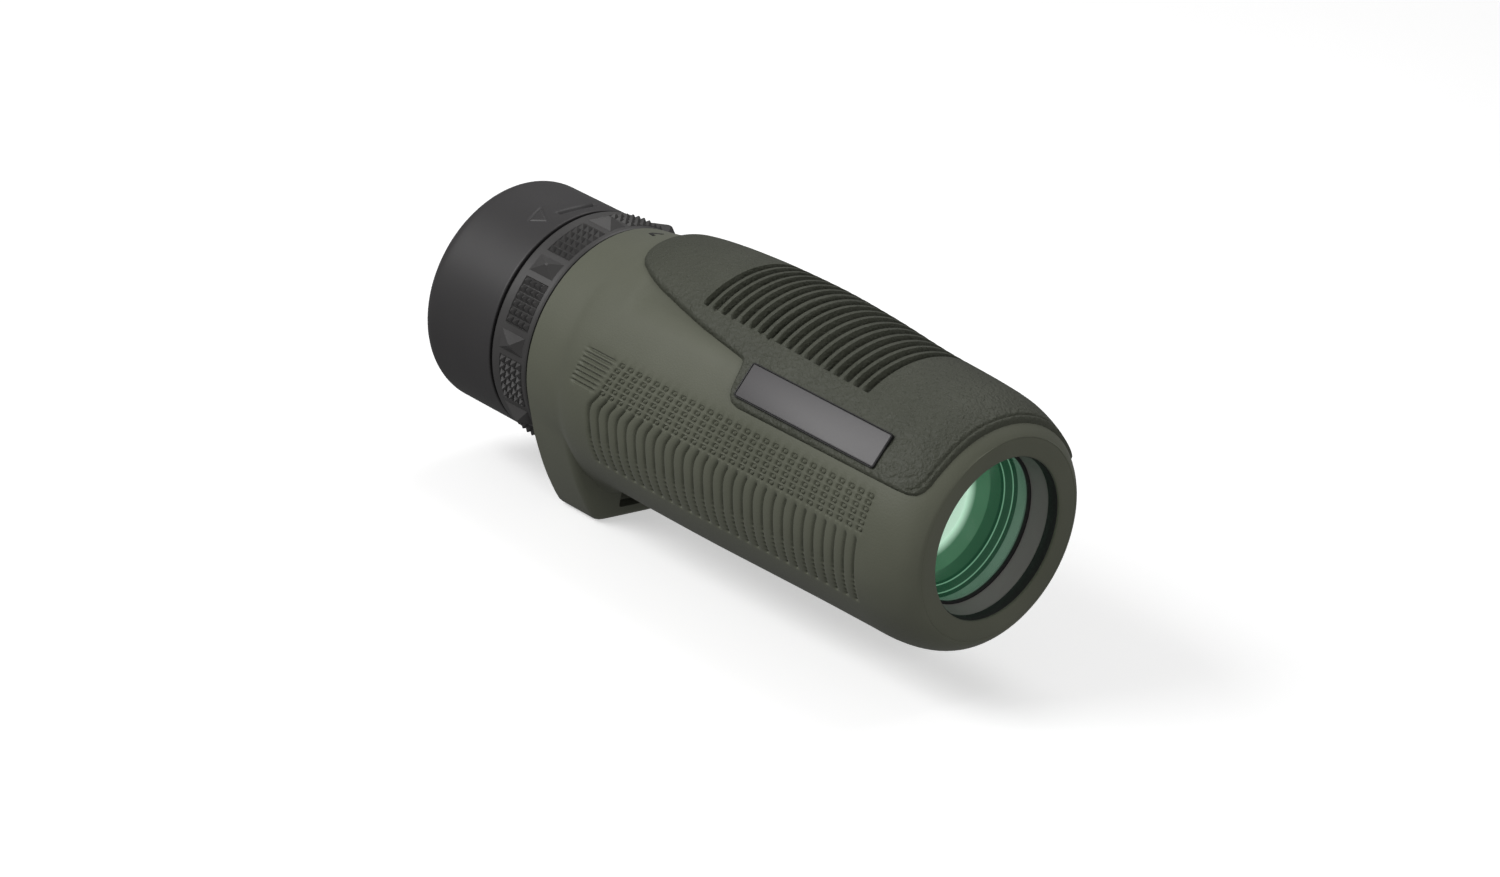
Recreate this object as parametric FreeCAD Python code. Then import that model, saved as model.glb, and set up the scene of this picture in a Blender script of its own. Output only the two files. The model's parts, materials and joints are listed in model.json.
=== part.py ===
import FreeCAD, Part
import math
import os
from FreeCAD import Placement, Rotation, Vector

# Compact roof-prism monocular. X is the optical axis: x = 0 is the front rim and the eye end is at
# -LENGTH. Z is up, towards the thumb ribs, and the strap lug hangs at -Z. Everything is in millimetres.

os.makedirs("parts", exist_ok=True)

# ---- driving dimensions -------------------------------------------------------------------------
LENGTH = 112.0                      # front rim to eyecup rim, eyecup turned down
AXIS = Vector(1, 0, 0)
ORIGIN = Vector(0, 0, 0)
RUNNING = 0.06                      # radial clearance of every running fit
BODY_GAP = 0.3                      # axial gap between pieces that turn against each other

# rubber armour
ARMOUR_REAR_X = -85.3
RIM_BORE_R, RIM_FACE_R = 13.2, 16.7
RIM_THICKNESS = 2.4
# x, radius at the sides and below, height of the back that swells under the thumb panel
STATIONS = [(ARMOUR_REAR_X, 19.5, 19.52), (-79.0, 20.1, 20.45), (-71.0, 20.7, 21.85), (-60.0, 20.95, 22.75),
            (-48.0, 20.9, 23.0), (-36.0, 20.7, 22.4), (-24.0, 20.5, 21.15), (-13.0, 20.4, 20.7),
            (-7.5, 20.2, 20.22), (-3.8, 19.5, 19.52), (-1.2, 18.0, 18.01),
            (0.0, RIM_FACE_R, RIM_FACE_R + 0.01)]

# thumb panel, bonded into a recess of the armour
PANEL_PROUD = 0.9
PANEL_THICKNESS = 1.8
PANEL_REAR_X, PANEL_FRONT_X = -75.0, -2.0
PANEL_EDGE_DEG = 64.4               # half-angle of its long straight edges, from +Z
# half of its plan: rear end, diagonal edge, step, and the front corner; |y| beyond 20 is the edge angle's
PANEL_HALF_PLAN = [(PANEL_REAR_X, 6.0), (-74.2, 8.2), (-72.3, 9.6), (-69.9, 10.9), (-65.8, 12.2),
                   (-59.6, 13.5), (-53.8, 14.4), (-42.7, 15.6), (-41.8, 18.6), (-39.3, 23.0),
                   (-4.8, 23.0), (PANEL_FRONT_X, 17.0)]
RIB_COUNT, RIB_PITCH, RIB_FIRST_X = 18, 2.03, -55.2
RIB_GROOVE, RIB_DEPTH, RIB_HALF_DEG = 0.95, 0.9, 32.0

# label plates, one each side, in the panel
PLATE_X, PLATE_LENGTH, PLATE_WIDTH, PLATE_DEG = -40.1, 29.3, 5.8, 52.9
PLATE_THICKNESS = 0.9
PLATE_REAR_R, PLATE_FRONT_R, PLATE_TILT_DEG = 22.5, 21.45, 2.5

# strap lug
LUG_FRONT_X, LUG_Z, LUG_HALF_WIDTH = -76.4, -27.0, 7.2
LUG_TANGENT_DEG, LUG_TANGENT_R = 123.0, 19.9
LUG_WAIST = (12.8, -19.7)           # half-width and height where the flank steepens
STRAP_HALF_WIDTH = 3.0
STRAP_TOP_Z, BAR_TOP_Z, BAR_REAR_X, STRAP_REAR_X = -20.45, -25.0, -78.8, -83.3
PIN_R, PIN_HALF_LENGTH = 0.8, 5.4
EAR_IN_Y, EAR_OUT_Y, EAR_LOW_Z = 3.6, 5.4, -26.2

# barrel
BARREL_REAR_X, BARREL_R, BARREL_BORE_R = -82.5, 17.2, 15.4
BARREL_NOSE_R, CELL_BORE_R, CELL_SEAT_X = 16.0, 14.95, -18.0

# objective
LENS_R = 12.9
CROWN_FRONT_X, CEMENT_EDGE_X, FLINT_REAR_X = -6.3, -7.9, -11.9
CROWN_BULGE, CEMENT_BULGE, FLINT_BULGE = 1.5, 2.1, 0.4

# prisms
PRISM_A = 12.4                      # clear aperture
PRISM_FACE_X = -53.0                # entrance face
PRISM_LENGTH = PRISM_A * (1 + math.sqrt(2)) / 2
PRISM_AIR = 0.1
CAGE_PLATE, CAGE_TOP_Z = 2.5, 11.2
CAGE_FRONT_X = PRISM_FACE_X + CAGE_PLATE
CAGE_REAR_X = PRISM_FACE_X - PRISM_LENGTH - PRISM_AIR - CAGE_PLATE

# focus
FOCUS_X = (-94.9, -85.6)            # rear and front of the ring
FOCUS_BEARING_R, FOCUS_CORE_R, FOCUS_R = 16.6, 18.0, 19.3
FOCUS_PITCH, FOCUS_TURN = 4.8, 330.0
FOCUS_PIN_X, FOCUS_PIN_R, FOCUS_PIN_TOP = -90.2, 0.9, 17.4
FOCUS_TRAVEL = 2.1                  # each way
CARRIAGE_X = (-46.0, -40.0)
ROD_REAR_X, ROD_R, ROD_THICK, ROD_HALF_WIDTH = -92.0, 12.9, 1.5, 1.5
WEDGES, WEDGE_X, WEDGE_PEAK = 9, (-92.2, -88.5, -86.8), 20.8
WEDGE_FIRST_DEG, WEDGE_HALF_WIDTH = 6.8, 1.55

# eyepiece
TUBE_REAR_X, TUBE_R, STACK_R = -108.0, 14.6, 10.4
POCKET_R = (12.4, 14.7)
STACK_FRONT_X = -87.0

# eyecup
EYECUP_FRONT_X, EYECUP_R, SLEEVE_R = -95.2, 19.1, 17.0
EYECUP_RISE, EYECUP_TURN = 7.0, 120.0
GUIDE_X, GUIDE_R, GUIDE_LOW = -96.7, 0.95, 13.75
GLIDE_X, GLIDE_R = (-99.6, -98.0), 16.0
EYE_HOLE_R, EYE_FLARE_R = 12.0, 14.6
SKIRT_X, SKIRT_R = -94.3, 18.25     # its front lip reaches over the rear of the focus ring


# ---- helpers ------------------------------------------------------------------------------------
def rod(x_low, x_high, radius):
    return Part.makeCylinder(radius, x_high - x_low, Vector(x_low, 0, 0), AXIS)


def tube(x_low, x_high, inner, outer):
    return rod(x_low, x_high, outer).cut(rod(x_low - 1, x_high + 1, inner))


def box(x_low, x_high, y_low, y_high, z_low, z_high):
    return Part.makeBox(x_high - x_low, y_high - y_low, z_high - z_low, Vector(x_low, y_low, z_low))


def turned(points):
    """A solid of revolution about the optical axis from its (x, radius) corners."""
    wire = Part.makePolygon([Vector(x, 0, r) for x, r in points + points[:1]])
    return Part.Face(wire).revolve(ORIGIN, AXIS, 360)


def o_ring(x, radius, section):
    return Part.makeTorus(radius, section, Vector(x, 0, 0), AXIS)


def prism_along_x(points, x_low, x_high):
    wire = Part.makePolygon([Vector(x_low, y, z) for y, z in points + points[:1]])
    return Part.Face(wire).extrude(Vector(x_high - x_low, 0, 0))


def fused(solids):
    return solids[0].multiFuse(solids[1:]).removeSplitter()


def about_axis(shape, degrees):
    """A copy turned about the optical axis, positive from +Z towards -Y."""
    turned_copy = shape.copy()
    turned_copy.rotate(ORIGIN, AXIS, degrees)
    return turned_copy


def lens(front_x, rear_x, radius, front_bulge, rear_bulge):
    """A lens from its edge planes. A bulge is positive outwards and negative where it is hollow."""
    front = Vector(front_x + front_bulge, 0, 0)
    rear = Vector(rear_x - rear_bulge, 0, 0)
    edges = [surface_edge(front, front_x, radius, front_bulge),
             Part.makeLine(Vector(front_x, 0, radius), Vector(rear_x, 0, radius)),
             surface_edge(rear, rear_x, radius, -rear_bulge),
             Part.makeLine(rear, front)]
    return Part.Face(Part.Wire(Part.__sortEdges__(edges))).revolve(ORIGIN, AXIS, 360)


def surface_edge(vertex, edge_x, radius, bulge):
    sphere = (radius ** 2 + bulge ** 2) / (2 * abs(bulge))
    half = radius / 2
    depth = sphere - math.sqrt(sphere ** 2 - half ** 2)
    middle = Vector(vertex.x - math.copysign(depth, bulge), 0, half)
    return Part.Arc(vertex, middle, Vector(edge_x, 0, radius)).toShape()


def screw_groove(inner, outer, half_width, pitch, turn, x_middle, middle_deg):
    """A right-handed helical cutter about X. middle_deg is where its middle lies, from +Y to +Z."""
    radius = (inner + outer) / 2
    rise = pitch * turn / 360
    path = Part.makeHelix(pitch, rise, radius)
    corners = [(inner, -half_width), (outer, -half_width), (outer, half_width), (inner, half_width)]
    section = Part.makePolygon([Vector(r, 0, z) for r, z in corners + corners[:1]])
    cutter = Part.Wire(path).makePipeShell([section], True, True)
    cutter.Placement = Placement(ORIGIN, Rotation(Vector(1, 1, 1), 120))
    cutter.rotate(ORIGIN, AXIS, middle_deg - turn / 2)
    cutter.translate(Vector(x_middle - rise / 2, 0, 0))
    return cutter


# ---- armour, panel and plates -------------------------------------------------------------------
def skin(offset=0.0):
    """The armour's outer form: round at the sides and below, with a half-ellipse for the swelling back."""
    wires = []
    for x, side, crest in STATIONS:
        centre, side, crest = Vector(x, 0, 0), side + offset, crest + offset
        ellipse = Part.Ellipse(centre + Vector(0, 0, crest), centre + Vector(0, side, 0), centre)
        back = ellipse.toShape(-math.pi / 2, math.pi / 2)
        left, right = centre + Vector(0, side, 0), centre + Vector(0, -side, 0)
        belly = Part.Arc(left, centre + Vector(0, 0, -side), right).toShape()
        wires.append(Part.Wire([back, belly]))
    return Part.makeLoft(wires, True, False)


def panel_plan():
    """The panel seen from above: a rounded rear end, a diagonal, a step and straight edges to the front."""
    half = PANEL_HALF_PLAN
    corners = half + [(x, -y) for x, y in reversed(half)]
    wire = Part.makePolygon([Vector(x, y, 0) for x, y in corners + corners[:1]])
    return Part.Face(wire).extrude(Vector(0, 0, 40))


def sector(half_degrees, x_low, x_high):
    """A wedge with its edge on the axis, centred on +Z."""
    y, z = 90 * math.sin(math.radians(half_degrees)), 90 * math.cos(math.radians(half_degrees))
    return prism_along_x([(0, 0), (y, z), (-y, z)], x_low, x_high)


def panel_blank():
    shell = skin(PANEL_PROUD).cut(skin(PANEL_PROUD - PANEL_THICKNESS))
    return shell.common(panel_plan()).common(sector(PANEL_EDGE_DEG, PANEL_REAR_X - 1, PANEL_FRONT_X + 1))


def rib_grooves():
    outer_layer = skin(PANEL_PROUD + 1).cut(skin(PANEL_PROUD - RIB_DEPTH))
    half = RIB_GROOVE / 2
    slabs = []
    for i in range(RIB_COUNT):
        x = RIB_FIRST_X + i * RIB_PITCH
        slabs.append(outer_layer.common(sector(RIB_HALF_DEG, x - half, x + half)))
    return Part.makeCompound(slabs)


def label_plate(side):
    """A flat plate sunk in the panel. side is 1 for -Y and -1 for +Y."""
    slope = math.degrees(math.atan2(PLATE_REAR_R - PLATE_FRONT_R, PLATE_LENGTH))
    plate = box(0, PLATE_LENGTH, -PLATE_WIDTH / 2, PLATE_WIDTH / 2, -PLATE_THICKNESS, 0)
    plate.rotate(ORIGIN, Vector(0, 1, 0), slope)
    plate.rotate(ORIGIN, AXIS, side * PLATE_TILT_DEG)
    plate.translate(Vector(PLATE_X, 0, PLATE_REAR_R))
    return about_axis(plate, side * PLATE_DEG)


def lug_solid():
    """The strap lug: flanks tangent to the body run down to a flat foot, with the strap tunnel cut."""
    angle = math.radians(LUG_TANGENT_DEG)
    y, z = LUG_TANGENT_R * math.sin(angle), LUG_TANGENT_R * math.cos(angle)
    half = [(y, z), LUG_WAIST, (LUG_HALF_WIDTH, LUG_Z)]
    section = half + [(-a, b) for a, b in reversed(half)]
    lug = prism_along_x(section, ARMOUR_REAR_X, LUG_FRONT_X)
    foot_edges = [e for e in lug.Edges if e.BoundBox.ZMax < LUG_Z + 0.1 and e.BoundBox.XLength > 1]
    return lug.makeFillet(1.4, foot_edges)


def strap_tunnel():
    width = STRAP_HALF_WIDTH
    front = box(STRAP_REAR_X, LUG_FRONT_X + 0.6, -width, width, BAR_TOP_Z, STRAP_TOP_Z)
    bottom = box(STRAP_REAR_X, BAR_REAR_X, -width, width, LUG_Z - 1, STRAP_TOP_Z)
    return front.fuse(bottom)


def strap_pin():
    x = (BAR_REAR_X + LUG_FRONT_X) / 2
    z = (BAR_TOP_Z + LUG_Z) / 2
    return Part.makeCylinder(PIN_R, 2 * PIN_HALF_LENGTH, Vector(x, -PIN_HALF_LENGTH, z), Vector(0, 1, 0))


def barrel_outside(length_beyond=0.0):
    return turned([(ARMOUR_REAR_X - length_beyond, 0), (ARMOUR_REAR_X - length_beyond, BARREL_R),
                   (-9.0, BARREL_R), (-6.0, BARREL_NOSE_R), (-RIM_THICKNESS, BARREL_NOSE_R),
                   (-RIM_THICKNESS, 0)])


def ears():
    """The two hard ears inside the rubber lug that carry the strap pin."""
    x_low, x_high = BAR_REAR_X - 3.0, LUG_FRONT_X - 0.5
    right = box(x_low, x_high, -EAR_OUT_Y, -EAR_IN_Y, EAR_LOW_Z, -14)
    left = box(x_low, x_high, EAR_IN_Y, EAR_OUT_Y, EAR_LOW_Z, -14)
    return right, left


def barrel_housing():
    outside = barrel_outside().common(rod(BARREL_REAR_X, 0, 40))
    barrel = fused([outside, *ears()])
    barrel = barrel.cut(rod(BARREL_REAR_X - 1, CELL_SEAT_X, BARREL_BORE_R))
    barrel = barrel.cut(rod(CELL_SEAT_X - 1, 0, CELL_BORE_R))
    return barrel.cut(strap_pin())


def rubber_armour():
    base = fused([skin(), lug_solid()])
    base = base.cut(barrel_outside(1.0)).cut(rod(-20, 1, RIM_BORE_R))
    base = base.cut(strap_tunnel()).cut(strap_pin())
    for ear in ears():
        base = base.cut(ear)
    return base.cut(panel_blank())


def top_panel():
    panel = panel_blank().cut(rib_grooves())
    return panel.cut(label_plate(1)).cut(label_plate(-1))


# ---- objective ----------------------------------------------------------------------------------
def objective_cell():
    cell = turned([(-17.0, 12.0), (-17.0, CELL_BORE_R), (-RIM_THICKNESS, CELL_BORE_R),
                   (-RIM_THICKNESS, 14.0), (-5.6, 14.0), (-5.6, LENS_R), (-12.05, LENS_R),
                   (-12.05, 12.2), (-14.0, 12.0)])
    return cell.cut(tube(-9.0, -8.0, 14.05, 15.5))


def objective_retaining_ring():
    return turned([(-5.45, 12.6), (-5.45, 14.0), (-RIM_THICKNESS, 14.0), (-RIM_THICKNESS, 13.15)])


def light_baffle():
    shell = tube(-37.0, -20.0, 14.9, BARREL_BORE_R)
    stops = [tube(x, x + 0.8, 12.3, 15.2) for x in (-37.0, -28.9, -20.8)]
    return fused([shell, *stops])


# ---- prisms -------------------------------------------------------------------------------------
def prism_from(points, shift):
    """A prism from its side view. points are (distance behind the entrance face, height) in apertures."""
    corners = [Vector(PRISM_FACE_X - t * PRISM_A - shift, -PRISM_A / 2, h * PRISM_A + shift) for t, h in points]
    wire = Part.makePolygon(corners + corners[:1])
    return Part.Face(wire).extrude(Vector(0, PRISM_A, 0))


def half_penta_prism():
    back = (1 + math.sqrt(2)) / 2
    return prism_from([(0, 0.5), (0, -0.5), (back, -1.0), (back, 0.5 - back)], 0.0)


def roof_prism():
    back = (1 + math.sqrt(2)) / 2
    blank = prism_from([(0, 0.5), (back, 0.5 - back), (back, 1.0)], PRISM_AIR)
    ridge = Vector(-back * PRISM_A, 0, 0.5 * PRISM_A).normalize()
    down = Vector(0, 1, 0).cross(ridge).normalize()
    if down.z > 0:
        down = down.negative()
    u = (down + Vector(0, 1, 0)).normalize()
    v = (down - Vector(0, 1, 0)).normalize()
    roof = Part.makeBox(60, 60, 60)
    frame = FreeCAD.Matrix(u.x, v.x, ridge.x, 0, u.y, v.y, ridge.y, 0, u.z, v.z, ridge.z, 0, 0, 0, 0, 1)
    start = Vector(PRISM_FACE_X - PRISM_AIR, 0, 0.5 * PRISM_A + PRISM_AIR) - ridge * 20
    if u.cross(v).dot(ridge) < 0:
        frame = FreeCAD.Matrix(v.x, u.x, ridge.x, 0, v.y, u.y, ridge.y, 0, v.z, u.z, ridge.z, 0, 0, 0, 0, 1)
    roof.Placement = Placement(frame)
    roof.translate(start)
    return blank.common(roof)


def clamp_screw(y):
    x, shank_top = CAGE_REAR_X + CAGE_PLATE + 1.3, CAGE_TOP_Z + 0.4
    shank = Part.makeCylinder(0.6, 3.1, Vector(x, y, shank_top - 3.1))
    head = Part.makeCylinder(0.95, 0.6, Vector(x, y, shank_top))
    slot = box(x - 1.2, x + 1.2, y - 0.12, y + 0.12, shank_top + 0.35, shank_top + 1)
    return shank.fuse(head).removeSplitter().cut(slot)


def prism_clamp_screws():
    return Part.makeCompound([clamp_screw(-8.2), clamp_screw(8.2)])


def prism_clamp():
    ridge_z = PRISM_A + PRISM_AIR + 0.02
    outer = [(-9.9, CAGE_TOP_Z), (-9.9, CAGE_TOP_Z + 0.4), (-5.2, CAGE_TOP_Z + 0.4), (-3.4, ridge_z + 0.4)]
    inner = [(-5.0, CAGE_TOP_Z), (-3.2, ridge_z)]
    points = outer + [(-y, z) for y, z in reversed(outer)] + [(-y, z) for y, z in inner]
    points += list(reversed(inner))
    x_low = CAGE_REAR_X + CAGE_PLATE
    strap = prism_along_x(points, x_low, x_low + 2.8)
    return strap.cut(prism_clamp_screws())


def prism_cage():
    half = PRISM_A / 2 + 0.1
    cage = rod(CAGE_REAR_X, CAGE_FRONT_X, BARREL_BORE_R)
    cage = cage.cut(box(CAGE_REAR_X + CAGE_PLATE, PRISM_FACE_X, -half, half, -20, 20))
    cage = cage.cut(rod(PRISM_FACE_X - 1, CAGE_FRONT_X + 1, 7.6)).cut(rod(-80, -60, 6.0))
    cage = cage.cut(box(-80, -40, -20, 20, CAGE_TOP_Z, 20))
    cage = cage.cut(box(-80, -40, 12.5, 20, -1.9, 1.9))
    return cage.cut(prism_clamp_screws())


def prism_cage_lock_ring():
    ring = tube(CAGE_REAR_X - 2.0, CAGE_REAR_X, 12.6, BARREL_BORE_R)
    return ring.cut(box(-90, -60, 12.5, 20, -1.9, 1.9))


# ---- eyepiece -----------------------------------------------------------------------------------
def focus_seal_rings():
    return Part.makeCompound([o_ring(x, FOCUS_BEARING_R - 0.48, 0.45) for x in (-94.2, -86.2)])


def eyepiece_tube():
    """The fixed rear tube: spigot, flange, focus bearing, and the screw grooves that raise the eyecup."""
    body = fused([rod(-83.0, -80.0, BARREL_BORE_R - 0.05), rod(-85.2, -83.0, BARREL_R),
                  rod(-95.0, -85.2, FOCUS_BEARING_R), rod(TUBE_REAR_X, -95.0, TUBE_R)])
    body = body.cut(tube(-94.6, -79.0, *POCKET_R))
    body = body.cut(tube(STACK_FRONT_X, -79.0, 11.65, POCKET_R[0] + 0.5)).cut(rod(-85.5, -79.0, 12.9))
    body = body.cut(rod(TUBE_REAR_X - 1, STACK_FRONT_X - 1.6, STACK_R)).cut(rod(-90, -84, 9.8))
    body = body.cut(rod(TUBE_REAR_X - 1, -104.9, 11.2))
    for x in (-94.2, -86.2):
        body = body.cut(tube(x - 0.5, x + 0.5, FOCUS_BEARING_R - 0.98, FOCUS_BEARING_R + 1))
    reach = FOCUS_TRAVEL + FOCUS_PIN_R + 0.1
    body = body.cut(box(FOCUS_PIN_X - reach, FOCUS_PIN_X + reach, 13, 20, -1.0, 1.0))
    margin = 12.0
    pitch = EYECUP_RISE * 360 / EYECUP_TURN
    for i in range(3):
        middle = 120 * i + 90 - EYECUP_TURN / 2
        groove = screw_groove(TUBE_R - 1.0, TUBE_R + 1, GUIDE_R + 0.12, pitch, EYECUP_TURN + margin,
                              GUIDE_X - EYECUP_RISE / 2, middle)
        body = body.cut(groove)
    return body.cut(box(-107.3, -97.4, -1.0, 1.0, -16, -13.8))


def field_stop():
    return fused([tube(-79.6, -79.0, 6.3, 12.3), tube(STACK_FRONT_X, -79.6, 11.7, 12.3)])


def field_lens():
    return lens(-88.8, -90.6, STACK_R, 1.0, 0.6)


def eyepiece_crown_lens():
    return lens(-97.2, -99.0, STACK_R, 2.0, 1.8)


def eye_lens():
    return lens(-102.1, -104.9, STACK_R, 1.0, 0.5)


def eyepiece_spacer_front():
    return tube(-93.7, -90.4, 9.6, STACK_R).cut(field_lens())


def eyepiece_spacer_rear():
    return tube(-102.3, -98.8, 9.6, STACK_R).cut(eyepiece_crown_lens()).cut(eye_lens())


def eyepiece_retaining_ring():
    ring = turned([(-107.0, 10.3), (-107.0, 11.2), (-104.9, 11.2), (-104.9, 9.7)]).cut(eye_lens())
    slots = [box(-108, -106.3, y, y + 3, -0.5, 0.5) for y in (-11.8, 8.8)]
    for slot in slots:
        ring = ring.cut(slot)
    return ring


# ---- focus ring and its carriage ----------------------------------------------------------------
def focus_ring_core():
    core = tube(*FOCUS_X, FOCUS_BEARING_R + RUNNING, FOCUS_CORE_R)
    groove = screw_groove(FOCUS_BEARING_R - 0.6, FOCUS_PIN_TOP + 0.1, FOCUS_PIN_R + 0.1,
                          FOCUS_PITCH, FOCUS_TURN, FOCUS_PIN_X, 0.0)
    return core.cut(groove)


def grip_wedge():
    """One raised four-sided point on the focus ring."""
    rear, peak, front = WEDGE_X
    low, base, half = FOCUS_CORE_R + 0.4, FOCUS_R - 0.08, WEDGE_HALF_WIDTH
    foot = box(rear, front, -half, half, low, base)
    corners = [Vector(rear, -half, base), Vector(rear, half, base), Vector(front, half, base),
               Vector(front, -half, base)]
    top = Vector(peak, 0, WEDGE_PEAK)
    faces = [Part.Face(Part.makePolygon(corners + corners[:1]))]
    for a, b in zip(corners, corners[1:] + corners[:1]):
        faces.append(Part.Face(Part.makePolygon([a, b, top, a])))
    return foot.fuse(Part.Solid(Part.Shell(faces))).removeSplitter()


def focus_ring_grip():
    rear, front = FOCUS_X[0] + 0.9, FOCUS_X[1]
    grip = turned([(rear, FOCUS_CORE_R), (rear, FOCUS_R - 0.4), (rear + 0.4, FOCUS_R), (front - 0.4, FOCUS_R),
                   (front, FOCUS_R - 0.4), (front, FOCUS_CORE_R)])
    points = [about_axis(grip_wedge(), WEDGE_FIRST_DEG + 360 * i / WEDGES) for i in range(WEDGES)]
    return fused([grip, *points])


def focus_cell():
    rear, front = CARRIAGE_X
    return turned([(rear, 11.4), (rear, BARREL_BORE_R - RUNNING), (front, BARREL_BORE_R - RUNNING),
                   (front, 13.0), (-41.4, 13.0), (-41.4, 12.2), (-44.4, 12.2), (-44.4, 11.4)])


def focus_drive_pin():
    low = ROD_R + 0.4
    return Part.makeCylinder(FOCUS_PIN_R, FOCUS_PIN_TOP - low, Vector(FOCUS_PIN_X, low, 0), Vector(0, 1, 0))


def focus_drive_rod():
    bar = box(ROD_REAR_X, CARRIAGE_X[0], ROD_R, ROD_R + ROD_THICK, -ROD_HALF_WIDTH, ROD_HALF_WIDTH)
    return bar.cut(focus_drive_pin())


# ---- eyecup -------------------------------------------------------------------------------------
def eyecup_glide_ring():
    ring = tube(*GLIDE_X, TUBE_R + RUNNING, GLIDE_R)
    key = box(*GLIDE_X, -0.92, 0.92, -15.2, -13.9).fuse(ring)
    split = box(-101, -97, -0.4, 0.4, 13, 17)
    return key.removeSplitter().cut(split)


def guide_pin(i):
    pin = Part.makeCylinder(GUIDE_R, 16.6 - GUIDE_LOW, Vector(GUIDE_X, 0, GUIDE_LOW))
    return about_axis(pin, 120 * i)


def eyecup_guide_pins():
    return Part.makeCompound([guide_pin(i) for i in range(3)])


def eyecup_sleeve():
    sleeve = tube(-108.6, EYECUP_FRONT_X - 0.1, TUBE_R + RUNNING, SLEEVE_R)
    rear, front = GLIDE_X
    sleeve = sleeve.cut(tube(rear - 0.05, front + 0.05, 14, GLIDE_R + RUNNING))
    return sleeve.cut(eyecup_guide_pins())


def eyecup_rubber():
    rim = 3.0
    start = Vector(-LENGTH + rim, 0, EYECUP_R)
    bend = rim * (1 - math.sqrt(0.5))
    edge = Part.Arc(start, Vector(-LENGTH + bend, 0, EYECUP_R - bend), Vector(-LENGTH, 0, EYECUP_R - rim))
    corners = [Vector(-LENGTH, 0, EYECUP_R - rim), Vector(-LENGTH, 0, EYE_FLARE_R),
               Vector(-110.2, 0, EYE_HOLE_R), Vector(-108.6, 0, EYE_HOLE_R), Vector(-108.6, 0, SLEEVE_R),
               Vector(EYECUP_FRONT_X, 0, SLEEVE_R), Vector(EYECUP_FRONT_X, 0, SKIRT_R),
               Vector(SKIRT_X, 0, SKIRT_R), Vector(SKIRT_X, 0, EYECUP_R), start]
    edges = [edge.toShape()] + [Part.makeLine(a, b) for a, b in zip(corners, corners[1:])]
    return Part.Face(Part.Wire(edges)).revolve(ORIGIN, AXIS, 360)


NODES = {
    "rubber_armour": rubber_armour,
    "top_panel": top_panel,
    "label_plate_right": lambda: label_plate(1),
    "label_plate_left": lambda: label_plate(-1),
    "barrel_housing": barrel_housing,
    "strap_pin": strap_pin,
    "objective_cell": objective_cell,
    "objective_retaining_ring": objective_retaining_ring,
    "objective_seal_ring": lambda: o_ring(-5.82, 12.5, 0.33),
    "cell_seal_ring": lambda: o_ring(-8.5, 14.5, 0.44),
    "objective_crown_lens": lambda: lens(CROWN_FRONT_X, CEMENT_EDGE_X, LENS_R, CROWN_BULGE, CEMENT_BULGE),
    "objective_flint_lens": lambda: lens(CEMENT_EDGE_X, FLINT_REAR_X, LENS_R, -CEMENT_BULGE, FLINT_BULGE),
    "light_baffle": light_baffle,
    "prism_cage": prism_cage,
    "half_penta_prism": half_penta_prism,
    "roof_prism": roof_prism,
    "prism_clamp": prism_clamp,
    "prism_clamp_screws": prism_clamp_screws,
    "prism_cage_lock_ring": prism_cage_lock_ring,
    "field_stop": field_stop,
    "eyepiece_tube": eyepiece_tube,
    "rear_gasket": lambda: tube(-83.0, BARREL_REAR_X, BARREL_BORE_R, BARREL_R),
    "focus_seal_rings": focus_seal_rings,
    "field_lens": field_lens,
    "eyepiece_spacer_front": eyepiece_spacer_front,
    "eyepiece_flint_lens": lambda: lens(-93.7, -97.2, STACK_R, -0.4, -2.0),
    "eyepiece_crown_lens": eyepiece_crown_lens,
    "eyepiece_spacer_rear": eyepiece_spacer_rear,
    "eye_lens": eye_lens,
    "eyepiece_retaining_ring": eyepiece_retaining_ring,
    "focus_ring_core": focus_ring_core,
    "focus_ring_grip": focus_ring_grip,
    "focus_cell": focus_cell,
    "focusing_lens": lambda: lens(-41.8, -44.35, 12.2, -0.6, -0.6),
    "focus_cell_retainer": lambda: tube(-41.35, -40.1, 11.6, 13.0),
    "focus_drive_rod": focus_drive_rod,
    "focus_drive_pin": focus_drive_pin,
    "eyecup_glide_ring": eyecup_glide_ring,
    "eyecup_sleeve": eyecup_sleeve,
    "eyecup_guide_pins": eyecup_guide_pins,
    "eyecup_rubber": eyecup_rubber,
}

for name, make in NODES.items():
    shape = make()
    shape.exportStep(f"parts/{name}.step")
    print(f"{name:26s} solids {len(shape.Solids)}  valid {shape.isValid()}  volume {shape.Volume:9.1f}")
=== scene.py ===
"""Looks for the compact roof-prism monocular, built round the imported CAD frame.

Lengths are in millimetres, and every mesh is scaled to metres as it is made. Only the stage, the
lights and the camera are in metres. Angles called t are in degrees about the optical axis, from
+Z (top) towards -Y.
"""
import json
import math

import bmesh
import bpy
import numpy as np
from mathutils import Matrix, Vector


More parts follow.
